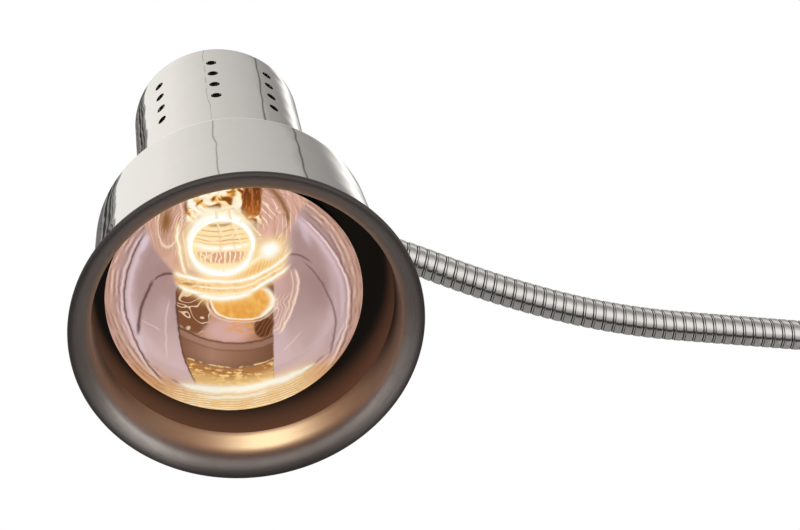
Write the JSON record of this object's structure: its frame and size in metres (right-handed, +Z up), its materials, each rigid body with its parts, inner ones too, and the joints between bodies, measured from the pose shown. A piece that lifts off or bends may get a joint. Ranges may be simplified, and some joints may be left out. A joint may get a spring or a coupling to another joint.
{
  "type": "infrared heat lamp",
  "caption": "Infrared heat lamp: vented metal shade with a screw-in reflector bulb, on a bendable gooseneck arm above a weighted round base with a rocker switch.",
  "frame": {"origin": "centre of the base's underside, on the surface it stands on", "axes": "+Z up; the arm bends over towards -X; the shade opens towards -Y and down; the rocker switch is on the -Y side and the cord gland at +Y"},
  "size_m": [0.6691, 0.2922, 0.4582],
  "materials": {
    "shade_metal": "polished outside, satin inside",
    "bulb_glass": "frosted face, mirrored cone inside",
    "clear_glass": "clear",
    "brass": "rolled",
    "solder": "solder",
    "black_glass": "glossy",
    "filament": "glowing",
    "porcelain": "glazed porcelain",
    "plated_steel": "zinc plated",
    "bright_steel": "bright",
    "arm_steel": "satin strip-wound",
    "cable": "matt",
    "base_metal": "satin",
    "iron": "as cast",
    "foot_rubber": "matt",
    "black_plastic": "fine matt",
    "rocker_plastic": "gloss"
  },
  "bodies": {
    "base": {"foot_mat": "foot_rubber", "base_weight": "iron", "base_cover": "base_metal", "base_posts": "plated_steel", "weight_screws": "plated_steel", "foot_ferrule": "bright_steel", "stiffener_plate": "plated_steel", "foot_washer": "plated_steel", "foot_lock_nut": "bright_steel", "switch_housing": "black_plastic", "switch_blades": "brass", "terminal_block": "black_plastic", "terminal_screws": "plated_steel", "base_leads": "cable", "cord_gland": "black_plastic", "gland_nut": "black_plastic", "neck_foot": "arm_steel", "cable_foot": "cable"},
    "rocker": {"switch_rocker": "rocker_plastic"},
    "head": {"neck_end": "arm_steel", "cable_end": "cable", "head_ferrule": "bright_steel", "head_washer": "plated_steel", "head_lock_nut": "bright_steel", "shade_skirt": "shade_metal", "vent_canopy": "shade_metal", "canopy_ring": "shade_metal", "shade_screws": "plated_steel", "shade_nuts": "plated_steel", "holder_strap": "plated_steel", "holder_screws": "plated_steel", "canopy_screws": "plated_steel", "canopy_nuts": "plated_steel", "earth_tag": "plated_steel", "lamp_holder": "porcelain", "screw_shell": "brass", "centre_contact": "brass", "holder_terminals": "brass", "socket_leads": "cable"},
    "bulb_tip": {"contact_tip": "solder"},
    "bulb": {"bulb_glass": "bulb_glass", "bulb_cap": "brass", "cap_insulator": "black_glass", "glass_stem": "clear_glass", "filament": "filament", "filament_supports": "filament"},
    "arm_riser": {"neck_riser": "arm_steel", "cable_riser": "cable"},
    "arm_lower_bend": {"neck_lower_bend": "arm_steel", "cable_lower_bend": "cable"},
    "arm_upper_bend": {"neck_upper_bend": "arm_steel", "cable_upper_bend": "cable"},
    "arm_first_reach": {"neck_first_reach": "arm_steel", "cable_first_reach": "cable"},
    "arm_second_reach": {"neck_second_reach": "arm_steel", "cable_second_reach": "cable"},
    "arm_third_reach": {"neck_third_reach": "arm_steel", "cable_third_reach": "cable"},
    "arm_fourth_reach": {"neck_fourth_reach": "arm_steel", "cable_fourth_reach": "cable"}
  },
  "joints": [
    {"name": "riser_joint", "type": "hinge", "parent": "base", "child": "arm_riser", "pos_m": [0, 0, 0.132], "axis": [0, 1, 0], "range_deg": [-18, 30]},
    {"name": "lower_bend_joint", "type": "hinge", "parent": "arm_riser", "child": "arm_lower_bend", "pos_m": [0, 0, 0.192], "axis": [-1, 0, 0], "range_deg": [-30, 30]},
    {"name": "upper_bend_joint", "type": "hinge", "parent": "arm_lower_bend", "child": "arm_upper_bend", "pos_m": [-0.02496, 0, 0.25787], "axis": [0, -1, 0], "range_deg": [-30, 24]},
    {"name": "first_reach_joint", "type": "hinge", "parent": "arm_upper_bend", "child": "arm_first_reach", "pos_m": [-0.08729, 0, 0.29066], "axis": [-0.1219, 0, -0.9925], "range_deg": [-30, 30]},
    {"name": "second_reach_joint", "type": "hinge", "parent": "arm_first_reach", "child": "arm_second_reach", "pos_m": [-0.15704, 0, 0.2964], "axis": [0, -1, 0], "range_deg": [-30, 28]},
    {"name": "third_reach_joint", "type": "hinge", "parent": "arm_second_reach", "child": "arm_third_reach", "pos_m": [-0.22697, 0, 0.29933], "axis": [0.0419, 0, 0.9991], "range_deg": [-30, 30]},
    {"name": "fourth_reach_joint", "type": "hinge", "parent": "arm_third_reach", "child": "arm_fourth_reach", "pos_m": [-0.29633, 0, 0.30815], "axis": [0, 1, 0], "range_deg": [-30, 30]},
    {"name": "end_joint", "type": "hinge", "parent": "arm_fourth_reach", "child": "head", "pos_m": [-0.36369, 0, 0.32702], "axis": [-0.2222, -0.7373, -0.638], "range_deg": [-30, 30]},
    {"name": "bulb_travel", "type": "slide", "parent": "head", "child": "bulb_tip", "axis": [0.0453, -0.7199, -0.6926], "range_m": [0, 0.018]},
    {"name": "bulb_thread", "type": "hinge", "parent": "bulb_tip", "child": "bulb", "pos_m": [-0.47436, -0.10518, 0.25846], "axis": [0.0453, -0.7199, -0.6926], "range_deg": [0, 1799]},
    {"name": "rocker_pivot", "type": "hinge", "parent": "base", "child": "rocker", "pos_m": [0, -0.074, 0.0436], "axis": [1, 0, 0], "range_deg": [0, 16]}
  ],
  "couplings": [
    {"joint": "bulb_travel", "follows": "bulb_thread", "m_per_rad": 0.00057296}
  ]
}
